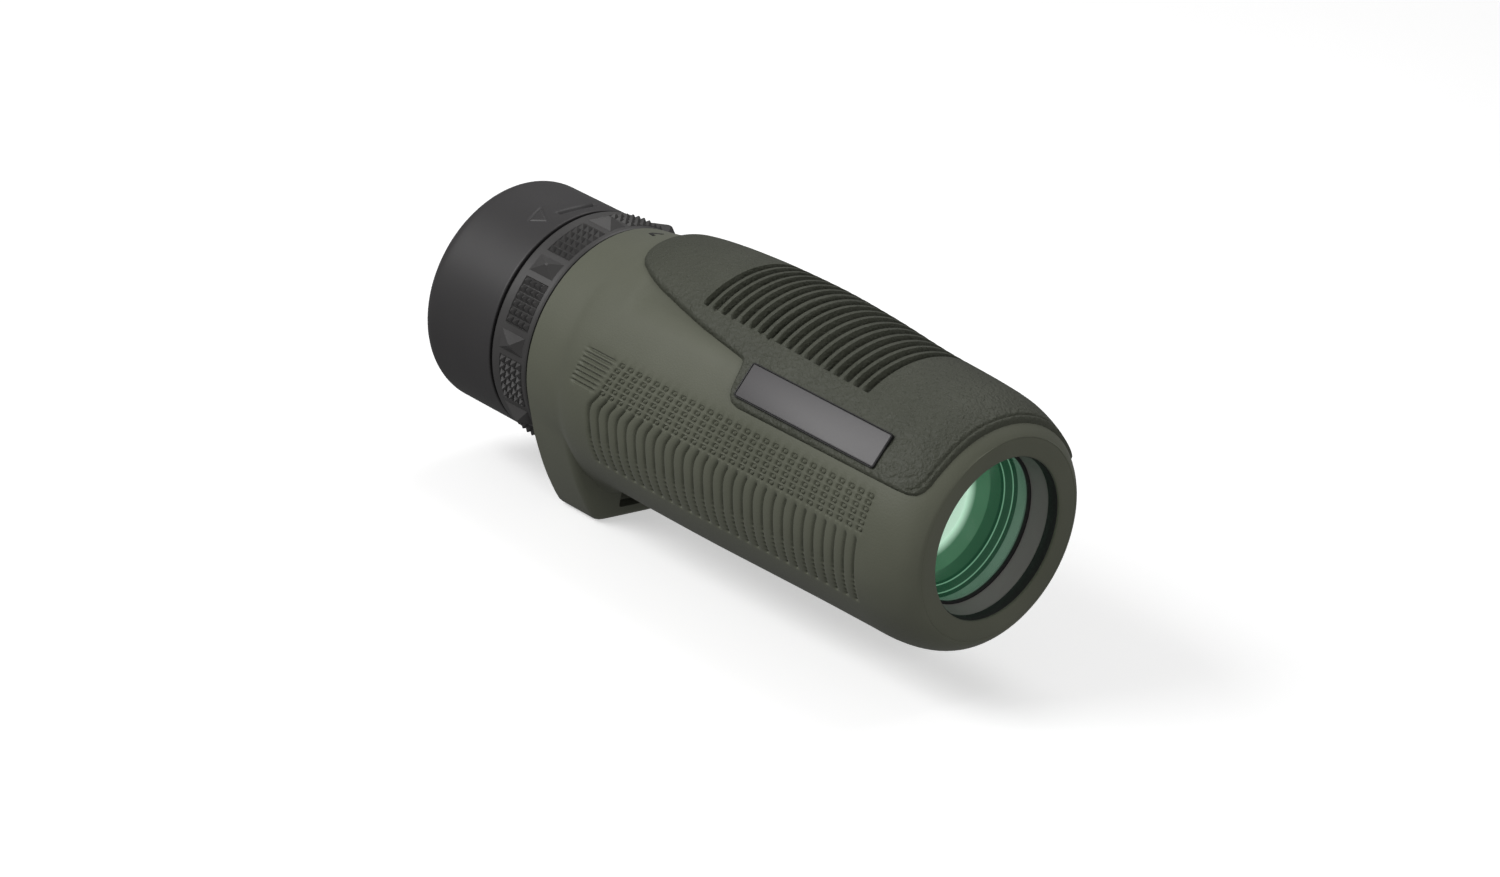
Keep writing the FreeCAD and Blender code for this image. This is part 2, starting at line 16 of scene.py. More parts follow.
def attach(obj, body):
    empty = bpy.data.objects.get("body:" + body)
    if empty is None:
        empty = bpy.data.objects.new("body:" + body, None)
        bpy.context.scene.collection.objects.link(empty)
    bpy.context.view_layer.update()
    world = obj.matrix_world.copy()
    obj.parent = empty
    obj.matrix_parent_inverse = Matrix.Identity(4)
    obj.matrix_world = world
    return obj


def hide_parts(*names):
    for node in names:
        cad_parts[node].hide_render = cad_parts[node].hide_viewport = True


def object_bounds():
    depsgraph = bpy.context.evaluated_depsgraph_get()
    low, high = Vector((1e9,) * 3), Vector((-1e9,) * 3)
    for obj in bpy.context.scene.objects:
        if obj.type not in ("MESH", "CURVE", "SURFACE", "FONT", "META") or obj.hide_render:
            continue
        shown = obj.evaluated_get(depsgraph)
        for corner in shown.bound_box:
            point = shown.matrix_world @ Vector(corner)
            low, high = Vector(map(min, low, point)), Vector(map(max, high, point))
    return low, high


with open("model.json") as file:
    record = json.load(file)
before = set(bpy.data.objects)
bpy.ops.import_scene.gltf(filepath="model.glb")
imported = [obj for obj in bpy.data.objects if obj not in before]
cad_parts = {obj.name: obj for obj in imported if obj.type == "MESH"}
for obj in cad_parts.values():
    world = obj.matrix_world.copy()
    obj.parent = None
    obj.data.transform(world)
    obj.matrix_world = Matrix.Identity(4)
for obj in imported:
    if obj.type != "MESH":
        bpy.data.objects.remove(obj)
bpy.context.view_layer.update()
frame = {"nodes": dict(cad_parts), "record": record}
NODES = frame["nodes"]
scene = bpy.context.scene
MM = 0.001


# ---- mesh helpers -------------------------------------------------------------------------------
def make_object(name, vertices, faces, smooth_angle):
    """A mesh object from vertices in mm. Edges sharper than smooth_angle degrees stay sharp."""
    mesh = bpy.data.meshes.new(name)
    mesh.from_pydata([tuple(float(c) * MM for c in v) for v in vertices], [], faces)
    mesh.validate()
    obj = bpy.data.objects.new(name, mesh)
    scene.collection.objects.link(obj)
    mesh.polygons.foreach_set("use_smooth", [True] * len(mesh.polygons))
    mesh.set_sharp_from_angle(angle=math.radians(smooth_angle))
    return obj


def grid_faces(points, closed_rows):
    """Quads over a (rows, columns, 3) array. Columns always close; rows close, or get two end caps."""
    rows, cols = points.shape[:2]
    index = np.arange(rows * cols).reshape(rows, cols)
    low = index if closed_rows else index[:-1]
    high = np.roll(index, -1, axis=0) if closed_rows else index[1:]
    faces = np.stack([low, high, np.roll(high, -1, axis=1), np.roll(low, -1, axis=1)], axis=-1)
    faces = faces.reshape(-1, 4).tolist()
    if not closed_rows:
        faces.append(index[0].tolist())
        faces.append(index[-1][::-1].tolist())
    return faces


def grid_object(name, points, smooth_angle, closed_rows=True):
    return make_object(name, points.reshape(-1, 3), grid_faces(points, closed_rows), smooth_angle)


def polar(x, radius, t):
    """(x, y, z) of polar points; t in degrees."""
    a = np.radians(t)
    x, radius, a = np.broadcast_arrays(x, radius, a)
    return np.stack([x, -radius * np.sin(a), radius * np.cos(a)], axis=-1)


def lathe(name, profile, columns, smooth_angle):
    """A closed ring of revolution from its (x, r) loop."""
    t = np.arange(columns) * 360.0 / columns
    rows = np.array(profile, float)
    points = polar(rows[:, :1], rows[:, 1:2], t[None, :])
    return grid_object(name, points, smooth_angle)


def fold_t(t):
    """Angle from the top without its side, so both sides are alike."""
    t = np.mod(t, 360.0)
    return np.where(t > 180, 360.0 - t, t)


def smoothstep(low, high, value):
    """0 below low, 1 above high, and an S-curve between."""
    s = np.clip((value - low) / (high - low), 0.0, 1.0)
    return s * s * (3 - 2 * s)


def curve_through(xs, ys):
    """A smooth curve through the points, level where they turn back. It is held beyond the ends."""
    xs, ys = np.array(xs, float), np.array(ys, float)
    slope = np.diff(ys) / np.diff(xs)
    tangent = np.concatenate([[slope[0]], 0.5 * (slope[1:] + slope[:-1]), [slope[-1]]])
    tangent[1:-1] = np.where(slope[1:] * slope[:-1] <= 0, 0.0, tangent[1:-1])

    def at(x):
        x = np.clip(x, xs[0], xs[-1])
        i = np.clip(np.searchsorted(xs, x, side="right") - 1, 0, len(xs) - 2)
        h = xs[i + 1] - xs[i]
        s = (x - xs[i]) / h
        a, b = ys[i], ys[i + 1]
        return ((1 + 2 * s) * (1 - s) ** 2 * a + s * (1 - s) ** 2 * h * tangent[i]
                + s * s * (3 - 2 * s) * b + s * s * (s - 1) * h * tangent[i + 1])
    return at


def line_distance(px, py, corners):
    """Distance from the points (px, py) to the nearest stretch of the line through the corners."""
    nearest = np.full_like(px, 99.0)
    for (ax, ay), (bx, by) in zip(corners[:-1], corners[1:]):
        dx, dy = bx - ax, by - ay
        s = np.clip(((px - ax) * dx + (py - ay) * dy) / (dx * dx + dy * dy), 0, 1)
        nearest = np.minimum(nearest, np.hypot(px - ax - s * dx, py - ay - s * dy))
    return nearest


def ring_mm(angle, radius):
    """Length in mm along a circle for an angle in degrees."""
    return np.radians(angle) * radius


# ---- the body's form ----------------------------------------------------------------------------
REAR_X = -85.3
SIDE_R = curve_through([REAR_X, -82.0, -79.0, -77.2, -75.4, -73.6, -71.0, -60.0, -48.0, -36.0, -24.0, -13.0,
                        -9.0, -6.5, -4.6, -3.0, -1.6, -0.6, 0.0],
                       [19.4, 19.65, 19.84, 19.98, 20.46, 20.68, 20.78, 20.93, 20.9, 20.7, 20.5, 20.42,
                        20.4, 20.15, 19.75, 19.2, 18.45, 17.55, 16.8])
CREST_R = curve_through([REAR_X, -82.0, -79.0, -71.0, -60.0, -48.0, -36.0, -24.0, -13.0, -9.0, -6.5,
                         -4.6, -3.0, -1.6, -0.6, 0.0],
                        [19.4, 19.9, 20.45, 21.85, 22.75, 23.0, 22.4, 21.15, 20.5, 20.1, 19.7,
                         19.2, 18.6, 17.85, 17.0, 16.3])


def body_radius(x, t):
    """Round at the sides and below, a half-ellipse above."""
    a = np.radians(t)
    side = SIDE_R(x)
    crest = np.where(np.cos(a) > 0, CREST_R(x), side)
    return 1.0 / np.sqrt((np.sin(a) / side) ** 2 + (np.cos(a) / crest) ** 2)


LUG_FRONT, LUG_Z = -76.4, -27.0
LUG_HALF = [(16.9, -10.8), (12.9, -19.6), (7.4, LUG_Z)]     # (|y|, z) of its flank, from the top down
LUG_EDGE = 1.2                                              # radius of the front edge
LUG_CORNER = 1.6                                            # a higher number gives sharper corners
LUG_SWEEP, LUG_SWEEP_X = 0.34, 2.2                          # height and length of the sweep in front


def lug_radius(t):
    """Radius of the lug's section in direction t, with softened corners."""
    a = np.radians(t)
    uy, uz = np.abs(np.sin(a)), np.cos(a)
    far, grazing = 60.0, 1e-3
    cuts = []
    for (y0, z0), (y1, z1) in zip(LUG_HALF, LUG_HALF[1:]):
        ny, nz = -(z1 - z0), (y1 - y0)
        if ny * y0 + nz * z0 < 0:
            ny, nz = -ny, -nz
        reach = (ny * y0 + nz * z0) / np.maximum(ny * uy + nz * uz, grazing)
        cuts.append(np.minimum(reach, far))
    cuts.append(np.minimum(LUG_Z / np.minimum(uz, -grazing), far))
    return -np.log(np.exp(-LUG_CORNER * np.array(cuts)).sum(axis=0)) / LUG_CORNER


def with_lug(x, t, radius):
    """Adds the strap lug: a steep front face, then a concave sweep into the body."""
    side = fold_t(t)
    lug = np.where(side > 100.0, lug_radius(t), 0.0)
    into = np.clip(x - (LUG_FRONT - LUG_EDGE), 0.0, LUG_EDGE)
    rounding = LUG_EDGE - np.sqrt(LUG_EDGE ** 2 - into ** 2)
    rise = np.maximum(lug - radius, 0.0) * smoothstep(110.0, 130.0, side)
    behind_front = 1 - smoothstep(LUG_FRONT - 0.01, LUG_FRONT + 0.12, x)
    block = np.maximum(rise - rounding, 0.0) * behind_front
    sweep = rise * LUG_SWEEP * np.exp(-np.maximum(x - LUG_FRONT, 0.0) / LUG_SWEEP_X)
    return radius + np.maximum(block, sweep)


# ---- side grip: dots above, ridges below --------------------------------------------------------
GRIP_COLUMNS = 28
GRIP_PITCH, GRIP_R = 2.03, 20.9
GRIP_BOTTOM_T = 124.0
GRIP_REAR = curve_through([60.0, 71.2, 74.0, 77.0, 80.3, 83.4, 86.3, 89.8, 94.0, 106.0, 115.0, 124.0, 130.0],
                          [-62.6, -63.9, -64.5, -64.95, -65.5, -65.95, -66.4, -67.3, -68.4, -68.45, -68.2,
                           -67.7, -67.3])
GRIP_FRONT = curve_through([60.0, 71.2, 90.0, 124.0, 130.0],
                           [-9.6, -9.7, -9.95, -10.4, -10.5])
DOT_TOP_T, DOT_PITCH_T, DOT_ROWS = 71.2, 3.02, 6
DOT_HALF_X, DOT_HALF_T = 0.52, 0.44         # half-sizes of a dot in mm
DOT_GROOVE = 0.40                           # depth of the groove round each dot
RIDGE_TOP_T = 87.2
RIDGE_GROOVE, RIDGE_CROWN = 0.44, 0.12      # groove between ridges, and rounding of their backs
BEAD_T = 2.4                                # period of the beads in the lower part of the grooves
BEAD_STEP = 0.30
OFF_GRIP = (-5.0, 99.0)                     # column numbers given to rows behind and before the grip


def dot_relief(off, t):
    """A narrow groove round each dot. off is the distance in mm from the middle of the column."""
    relief = np.zeros_like(off + t)
    for i in range(DOT_ROWS):
        dy = ring_mm(t - (DOT_TOP_T + DOT_PITCH_T * i), GRIP_R)
        d = (np.abs(off / DOT_HALF_X) ** 3 + np.abs(dy / DOT_HALF_T) ** 3) ** (1 / 3)
        relief = relief - DOT_GROOVE * np.exp(-((d - 0.82) / 0.32) ** 2)
    return relief


def ridge_relief(column, t):
    """A broad rounded rib in each column with a narrow groove behind it, beaded low down."""
    start = RIDGE_TOP_T + 0.9 * np.clip(column, 0, GRIP_COLUMNS - 1) / 9.0
    below_top = smoothstep(start - 0.6, start + 1.6, t)
    above_bottom = 1 - smoothstep(GRIP_BOTTOM_T - 1.2, GRIP_BOTTOM_T - 0.2, t)
    phase = np.mod(column + 0.36, 1.0) - 0.36
    groove = np.exp(-((phase * GRIP_PITCH + 0.36) / 0.27) ** 2)
    crown = RIDGE_CROWN * ((np.clip(phase, -0.1, 0.6) - 0.25) / 0.35) ** 2
    beads = 0.5 + 0.5 * np.cos((t - DOT_TOP_T) * 2 * math.pi / BEAD_T)
    depth = RIDGE_GROOVE - BEAD_STEP * smoothstep(107.0, 113.0, t) * beads
    return -below_top * above_bottom * (depth * groove + crown)


def grip_relief(column, t):
    """Height of the grip's relief. column is the column number, t is folded to one side."""
    off = (column - np.round(column)) * GRIP_PITCH
    inside = (column > -0.55) & (column < GRIP_COLUMNS - 0.45)
    return np.where(inside, dot_relief(off, t) + ridge_relief(column, t), 0.0)


LINE_TOP_T, LINE_BOTTOM_T = 69.4, 88.0
LINE_FIRST_T, LINE_PITCH_T, LINE_DEPTH = 70.6, 2.33, 0.55


def line_block_relief(x, t):
    """Fine lines along the axis behind the grip."""
    corner_t = [68.0, 71.0, 91.0, 123.0]
    rear = np.interp(t, corner_t, [-71.3, -71.6, -74.0, -73.9])
    front = np.interp(t, corner_t, [-65.5, -65.8, -69.0, -69.0])
    along = smoothstep(rear - 0.25, rear + 0.15, x) * (1 - smoothstep(front - 0.15, front + 0.25, x))
    phase = np.mod((t - LINE_FIRST_T) / LINE_PITCH_T + 0.5, 1.0) - 0.5
    inside = (t > LINE_TOP_T) & (t < LINE_BOTTOM_T)
    return -LINE_DEPTH * along * np.exp(-(phase / 0.24) ** 2) * inside


# ---- armour -------------------------------------------------------------------------------------
PANEL_SEAT = 0.75       # how far the armour drops under the thumb panel
# (x, r) of the inside, from the front lip back to the rear edge
ARMOUR_INSIDE = [(0.0, 16.5), (-0.08, 16.38), (0.0, 16.26), (0.0, 15.6), (0.0, 13.75), (-0.06, 13.45),
                 (-0.25, 13.25), (-0.6, 13.2), (-2.4, 13.2), (-2.4, 16.0), (-6.0, 16.0), (-9.0, 17.2),
                 (-60.0, 17.2), (REAR_X, 17.2), (REAR_X, 18.4), (REAR_X, 19.1)]


def armour_columns():
    """Column angles: fine over the dots, coarser over the ridges, the lug, the top and the belly."""
    top = np.linspace(0.0, 64.0, 11, endpoint=False)
    lead = np.linspace(64.0, 69.8, 3, endpoint=False)
    dots = np.linspace(69.8, 87.9, 54, endpoint=False)
    ridges = np.linspace(87.9, 106.0, 14, endpoint=False)
    beads = np.linspace(106.0, 124.6, 34, endpoint=False)
    belly = [124.6, 126.5, 129, 132, 136, 140, 143.5, 146, 148, 150, 153, 156.5, 160, 163, 165, 166.5,
             168.5, 172, 176, 180]
    half = np.concatenate([top, lead, dots, ridges, beads, belly])
    return np.concatenate([half, 360.0 - half[1:-1]])


def armour_rows(t):
    """x and grip column number of every row of the outside, from the rear edge to the front lip."""
    side = np.clip(fold_t(t), 60, 130)
    x_first, x_last = GRIP_REAR(side), GRIP_FRONT(side)
    pitch = (x_last - x_first) / (GRIP_COLUMNS - 1)
    collar = REAR_X + np.array([0.0, 0.15, 0.45])
    rear = np.concatenate([collar, [-84.2, -83.0, -81.6, -81.2, -80.8, -80.4, -79.8, -79.2],
                           np.linspace(-78.4, LUG_FRONT - 0.4, 5, endpoint=False),
                           LUG_FRONT + np.array([-0.4, -0.2, -0.1, -0.03, 0.0, 0.05, 0.12, 0.3]),
                           np.linspace(LUG_FRONT + 0.6, -73.6, 6)])
    blend = np.linspace(0, 1, 15)[1:-1]
    in_pitch = np.array([-0.80, -0.62, -0.48, -0.34, -0.16, 0.04, 0.24, 0.42, 0.60, 0.80]) / GRIP_PITCH
    columns = (np.arange(GRIP_COLUMNS)[:, None] + in_pitch[None, :]).ravel()
    nose = [-7.4, -6.6, -5.8, -5.0, -4.3, -3.6, -3.0, -2.4, -1.9, -1.4, -1.0, -0.7, -0.45, -0.25, -0.1]
    start = x_first + columns[0] * pitch
    end = x_first + columns[-1] * pitch
    behind, before = OFF_GRIP
    rows = [(np.full_like(t, x), behind) for x in rear]
    rows += [(rear[-1] + s * (start - rear[-1]), behind) for s in blend]
    rows += [(x_first + column * pitch, column) for column in columns]
    rows += [(end + s * (nose[0] - end), before) for s in (1 / 3, 2 / 3)]
    rows += [(np.full_like(t, x), before) for x in nose]
    x = np.array([row for row, _ in rows])
    column = np.array([np.full_like(t, number) for _, number in rows])
    return x, column


def armour_mesh():
    """The green moulding: the body's form, the lug, the grips on both sides and the panel's seat."""
    t = np.sort(armour_columns())
    x, column = armour_rows(t)
    tt = np.broadcast_to(t, x.shape)
    side = fold_t(tt)
    radius = with_lug(x, tt, body_radius(x, tt))
    radius = radius + grip_relief(column, side) + line_block_relief(x, side)
    seat = (side < 44.0) * smoothstep(-70.0, -67.0, x) * (1 - smoothstep(-9.0, -6.0, x))
    radius = radius - PANEL_SEAT * seat
    radius[0] -= 0.25
    outer = polar(x, radius, tt)
    inner = np.array([polar(np.full_like(t, rx), np.full_like(t, rr), t) for rx, rr in ARMOUR_INSIDE])
    return grid_object("armour_shell", np.concatenate([outer, inner]), 38.0)


def bore_liner():
    """The black hard lip just inside the rim."""
    profile = [(-0.75, 13.3), (-0.55, 13.16), (-0.7, 13.06), (-2.3, 13.06), (-2.3, 13.3)]
    return lathe("bore_liner", profile, 180, 35.0)


MARK_X, MARK_LENGTH = -81.6, 1.7            # point of the V, and its length forwards
MARK_T = (0.35, 2.65)                       # angle of each stroke's middle at the point and at the end
MARK_SECTION = [(-0.42, -0.25), (-0.30, 0.05), (0.30, 0.05), (0.42, -0.25)]     # (across, out) in mm
MARK_STEPS = 6


def index_mark():
    """A small dark V on the collar behind the panel: two strokes that follow the surface."""
    verts, faces = [], []
    width = len(MARK_SECTION)
    for side in (-1, 1):
        base = len(verts)
        for i in range(MARK_STEPS + 1):
            k = i / MARK_STEPS
            x, mid = MARK_X + MARK_LENGTH * k, side * (MARK_T[0] + (MARK_T[1] - MARK_T[0]) * k)
            for across, out in MARK_SECTION:
                t = mid + math.degrees(across / 20.2)
                verts.append(polar(x, body_radius(x, t) + out, t).tolist())
        for i in range(MARK_STEPS):
            for j in range(width):
                a, b = base + width * i + j, base + width * i + (j + 1) % width
                faces.append([a, b, b + width, a + width])
        last = base + width * MARK_STEPS
        faces.append([base + 3, base + 2, base + 1, base])
        faces.append([last, last + 1, last + 2, last + 3])
    return make_object("index_mark", verts, faces, 30.0)


def cutter_box(name, low, high, bevel):
    """A box with its edges rounded, used to cut the strap tunnel."""
    bm = bmesh.new()
    bmesh.ops.create_cube(bm, size=1.0)
    size = [(b - a) * MM for a, b in zip(low, high)]
    centre = [(a + b) / 2 * MM for a, b in zip(low, high)]
    for v in bm.verts:
        v.co = Vector([c + s * p for c, s, p in zip(centre, size, v.co)])
    bmesh.ops.bevel(bm, geom=bm.edges[:], offset=bevel * MM, segments=3, profile=0.5, affect="EDGES")
    mesh = bpy.data.meshes.new(name)
    bm.to_mesh(mesh)
    bm.free()
    obj = bpy.data.objects.new(name, mesh)
    scene.collection.objects.link(obj)
    return obj


def cut_with(obj, cutter):
    """Takes the cutter out of the object and deletes the cutter."""
    mod = obj.modifiers.new("cut", "BOOLEAN")
    mod.operation = "DIFFERENCE"
    mod.solver = "EXACT"
    mod.object = cutter
    bpy.context.view_layer.update()
    depsgraph = bpy.context.evaluated_depsgraph_get()
    result = bpy.data.meshes.new_from_object(obj.evaluated_get(depsgraph))
    obj.modifiers.clear()
    old = obj.data
    obj.data = result
    bpy.data.meshes.remove(old)
    bpy.data.objects.remove(cutter)


# ---- thumb panel --------------------------------------------------------------------------------
# (x, t) of its edge on one side, from the rear end forwards: a wing, a step, a straight skirt, the nose
PANEL_EDGE = [(-75.2, 0.0), (-75.15, 8.0), (-74.9, 15.0), (-74.3, 20.5), (-73.4, 24.4), (-72.3, 26.9),
              (-69.9, 30.3), (-65.8, 34.0), (-59.6, 38.0), (-53.8, 41.2), (-48.4, 43.5), (-43.3, 45.6),
              (-42.65, 46.4), (-42.3, 48.5), (-42.05, 52.8), (-41.8, 58.5), (-41.4, 61.4), (-40.6, 63.5),
              (-39.3, 64.4), (-6.0, 64.3), (-4.2, 63.9), (-3.0, 62.4), (-2.3, 59.5), (-1.95, 55.0),
              (-1.8, 45.0), (-1.75, 0.0)]
PANEL_R = 22.0                              # radius at which angles are turned into mm
PANEL_HIGH, PANEL_SUNK = 0.88, -0.28        # height of its face and of its edge line over the armour
PANEL_LIP = 0.30                            # depth of the groove behind the front lip
RIBS, RIB_FIRST_X, RIB_PITCH = 18, -55.2, 2.03
RIB_HALF_T, RIB_R, RIB_DEPTH = 31.0, 22.6, 1.3


def panel_rows():
    """x of the rows: close at the ends, the ribs and the step, wider between."""
    rear = [-75.2, -75.18, -75.15, -75.1, -75.0, -74.85, -74.6, -74.3, -73.9, -73.4, -72.9, -72.3]
    wing = np.linspace(-72.0, -56.8, 34)
    ribs = np.arange(-56.4, -19.3, RIB_PITCH / 12)
    step = np.arange(-43.4, -39.2, 0.12)
    front = np.linspace(-19.0, -4.4, 32)
    lip = np.arange(-3.1, -1.95, 0.085)
    ends = [-4.0, -3.6, -3.3, -1.92, -1.87, -1.82, -1.78, -1.75]
    return np.unique(np.round(np.concatenate([rear, wing, ribs, step, front, lip, ends]), 4))


def panel_height(x, t, near):
    """Height over the armour: rounded down at the edge, a groove behind the front lip, and the ribs."""
    high = PANEL_HIGH - 0.22 * smoothstep(22.0, 46.0, np.abs(t)) - 0.14 * smoothstep(-8.0, -3.0, x)
    nose = smoothstep(-5.5, -3.8, x)
    roll = np.clip(near / (0.75 - 0.35 * nose), 0.0, 1.0)
    height = PANEL_SUNK + (high - PANEL_SUNK) * np.sqrt(1 - (1 - roll) ** 2.2)
    height = height - PANEL_LIP * nose * np.exp(-((near - 0.80) / 0.17) ** 2)
    past_end = np.maximum(np.abs(ring_mm(t, PANEL_R)) - ring_mm(RIB_HALF_T, RIB_R), 0.0)
    for i in range(RIBS):
        d = np.hypot(x - (RIB_FIRST_X + RIB_PITCH * i), past_end)
        height = height - RIB_DEPTH * (1 - smoothstep(0.26, 0.72, d))
    return height, roll


def panel_mesh():
    """The panel as rows across it. Each row runs from one edge to the other and back underneath."""
    xs = panel_rows()
    edge_x, edge_t = np.array(PANEL_EDGE).T
    edge = np.interp(xs, edge_x, edge_t)
    edge[0] = edge[-1] = 0.4
    edge = np.maximum(edge, 0.4)
    ease = 0.08 * np.cos(np.linspace(0, math.pi / 2, 20))
    across = np.concatenate([-0.92 - ease, np.linspace(-0.92, 0.92, 62)[1:-1], (0.92 + ease)[::-1]])
    across = np.unique(np.round(across, 6))
    x = xs[:, None] + 0 * across[None, :]
    t = edge[:, None] * across[None, :]
    outline = [(px, ring_mm(pt, PANEL_R)) for px, pt in PANEL_EDGE]
    near = line_distance(x, np.abs(ring_mm(t, PANEL_R)), outline)
    height, roll = panel_height(x, t, near)
    base = body_radius(x, t)
    top = polar(x, base + height, t)
    under = polar(x, base - np.where(roll > 0.5, 0.62, 0.45), t)
    loop = np.concatenate([top, under[:, ::-1]], axis=1)
    return grid_object("thumb_panel", loop, 60.0, closed_rows=False)


# ---- label plates -------------------------------------------------------------------------------
PLATE_REAR_R, PLATE_FRONT_R, PLATE_LENGTH = 22.22, 21.28, 29.3
PLATE_REAR_X, PLATE_T = -40.1, 52.9
PLATE_TILT = math.radians(2.6)
PLATE_BOW = 0.06                # how far the ends fall behind the middle
# stacked outlines (half_x, half_y, corner, height)
PLATE_LOOPS = [(14.42, 2.76, 0.2, -0.75), (14.42, 2.76, 0.2, 0.10), (14.37, 2.71, 0.18, 0.16),
               (14.27, 2.61, 0.12, 0.19)]
PLATE_RIM_LOOPS = [(14.68, 3.0, 0.5, -0.7), (14.68, 3.0, 0.5, 0.16), (14.62, 2.94, 0.45, 0.20),
                   (14.52, 2.84, 0.3, 0.18), (14.46, 2.80, 0.25, 0.02), (14.46, 2.80, 0.25, -0.7)]


def rounded_rectangle(half_x, half_y, corner, segments=5):
    points = []
    for cx, cy, start in ((1, 1, 0), (-1, 1, 90), (-1, -1, 180), (1, -1, 270)):
        for i in range(segments + 1):
            a = math.radians(start + 90 * i / segments)
            points.append((cx * (half_x - corner) + corner * math.cos(a),
                           cy * (half_y - corner) + corner * math.sin(a)))
    return points


def plate_point(u, v, w, side):
    """A point on the plate's own plane: u along it, v up it, w out of it."""
    slope = math.atan2(PLATE_REAR_R - PLATE_FRONT_R, PLATE_LENGTH)
    x = PLATE_REAR_X + PLATE_LENGTH / 2 + u * math.cos(slope) + w * math.sin(slope)
    out = (PLATE_REAR_R + PLATE_FRONT_R) / 2 - u * math.sin(slope) + w * math.cos(slope)
    out += v * math.sin(PLATE_TILT) - PLATE_BOW * (u / (PLATE_LENGTH / 2)) ** 2
    up = v * math.cos(PLATE_TILT) - w * math.sin(PLATE_TILT)
    a = math.radians(PLATE_T)
    return (x, -(out * math.sin(a) - up * math.cos(a)) * side, out * math.cos(a) + up * math.sin(a))


def plate_piece(name, side, loops, solid):
    """Stacked outlines joined into one closed skin: a solid plate, or a frame closed underneath."""
    rings = [rounded_rectangle(half_x, half_y, corner) for half_x, half_y, corner, _ in loops]
    count = len(rings[0])
    verts = [plate_point(u, v, loop[3], side) for ring, loop in zip(rings, loops) for u, v in ring]
    faces = []
    for k in range(len(loops) - 1 if solid else len(loops)):
        below, above = k * count, (k + 1) % len(loops) * count
        for i in range(count):
            j = (i + 1) % count
            faces.append([below + i, below + j, above + j, above + i])
    if solid:
        faces.append(list(range(count))[::-1])
        faces.append([(len(loops) - 1) * count + i for i in range(count)])
    if side < 0:
        faces = [f[::-1] for f in faces]
    return make_object(name, verts, faces, 30.0)


# ---- focus ring ---------------------------------------------------------------------------------
FOCUS_REAR, FOCUS_FRONT, FOCUS_R, FOCUS_BORE_R = -94.0, -85.6, 19.3, 18.02
WEDGES = 9                      # raised four-sided points, with a knurled pad between each two
SHARE_T = 360.0 / WEDGES
WEDGE_T0, WEDGE_HALF_T = 6.8, 4.7
WEDGE_X, WEDGE_PEAK_X, WEDGE_PEAK_R = (-92.2, -86.8), -88.5, 20.72
PAD_X, PAD_HALF_T = (-91.85, -86.75), 11.9
PAD_ROWS, PAD_COLS = 4, 6
PAD_SINK = 0.26


def focus_band():
    """The band, with a shallow pocket for each knurled pad."""
    rows = [(FOCUS_REAR, -0.5, 0), (FOCUS_REAR + 0.12, -0.15, 0), (FOCUS_REAR + 0.4, 0, 0),
            (PAD_X[0] - 0.12, 0, 0), (PAD_X[0] + 0.06, 0, 1), (-89.3, 0, 1), (PAD_X[1] - 0.06, 0, 1),
            (PAD_X[1] + 0.12, 0, 0), (FOCUS_FRONT - 0.4, 0, 0), (FOCUS_FRONT - 0.12, -0.15, 0),
            (FOCUS_FRONT, -0.5, 0)]
    x, drop, pocket_x = np.array(rows).T[:, :, None]
    pocket = [(-12.25, 0), (-11.85, 1), (-8, 1), (-4, 1), (0, 1), (4, 1), (8, 1), (11.85, 1), (12.25, 0)]
    plain = [(off, 0) for off in (14.5, 17.2, 20.0, 22.8, 25.5)]
    t, pocket_t = [], []
    for k in range(WEDGES):
        for off, sunk in pocket + plain:
            t.append(WEDGE_T0 + SHARE_T * (k + 0.5) + off)
            pocket_t.append(sunk)
    t, pocket_t = np.array(t), np.array(pocket_t, float)
    outer = polar(x, FOCUS_R + drop - PAD_SINK * pocket_x * pocket_t, t)
    bore = polar(np.array([[FOCUS_FRONT], [FOCUS_REAR]]), FOCUS_BORE_R, t)
    points = np.concatenate([outer, bore])
    return points.reshape(-1, 3).tolist(), grid_faces(points, True)


def pyramid(verts, faces, xs, ts, radii, peak_x, flat=0.10):
    """Adds a closed four-sided point: a sunk foot, a shoulder line and a small flat top."""
    base = len(verts)
    foot, shoulder, peak = radii
    mid_t = (ts[0] + ts[1]) / 2
    corners = [(xs[0], ts[0]), (xs[0], ts[1]), (xs[1], ts[1]), (xs[1], ts[0])]
    for radius in (foot, shoulder):
        verts += [polar(x, radius, t).tolist() for x, t in corners]
    for x, t in corners:
        verts.append(polar(peak_x + flat * (x - peak_x), peak, mid_t + flat * (t - mid_t)).tolist())
    faces.append([base + 3, base + 2, base + 1, base])
    for ring in (base, base + 4):
        for i in range(4):
            j = (i + 1) % 4
            faces.append([ring + i, ring + j, ring + 4 + j, ring + 4 + i])
    faces.append([base + 8, base + 9, base + 10, base + 11])


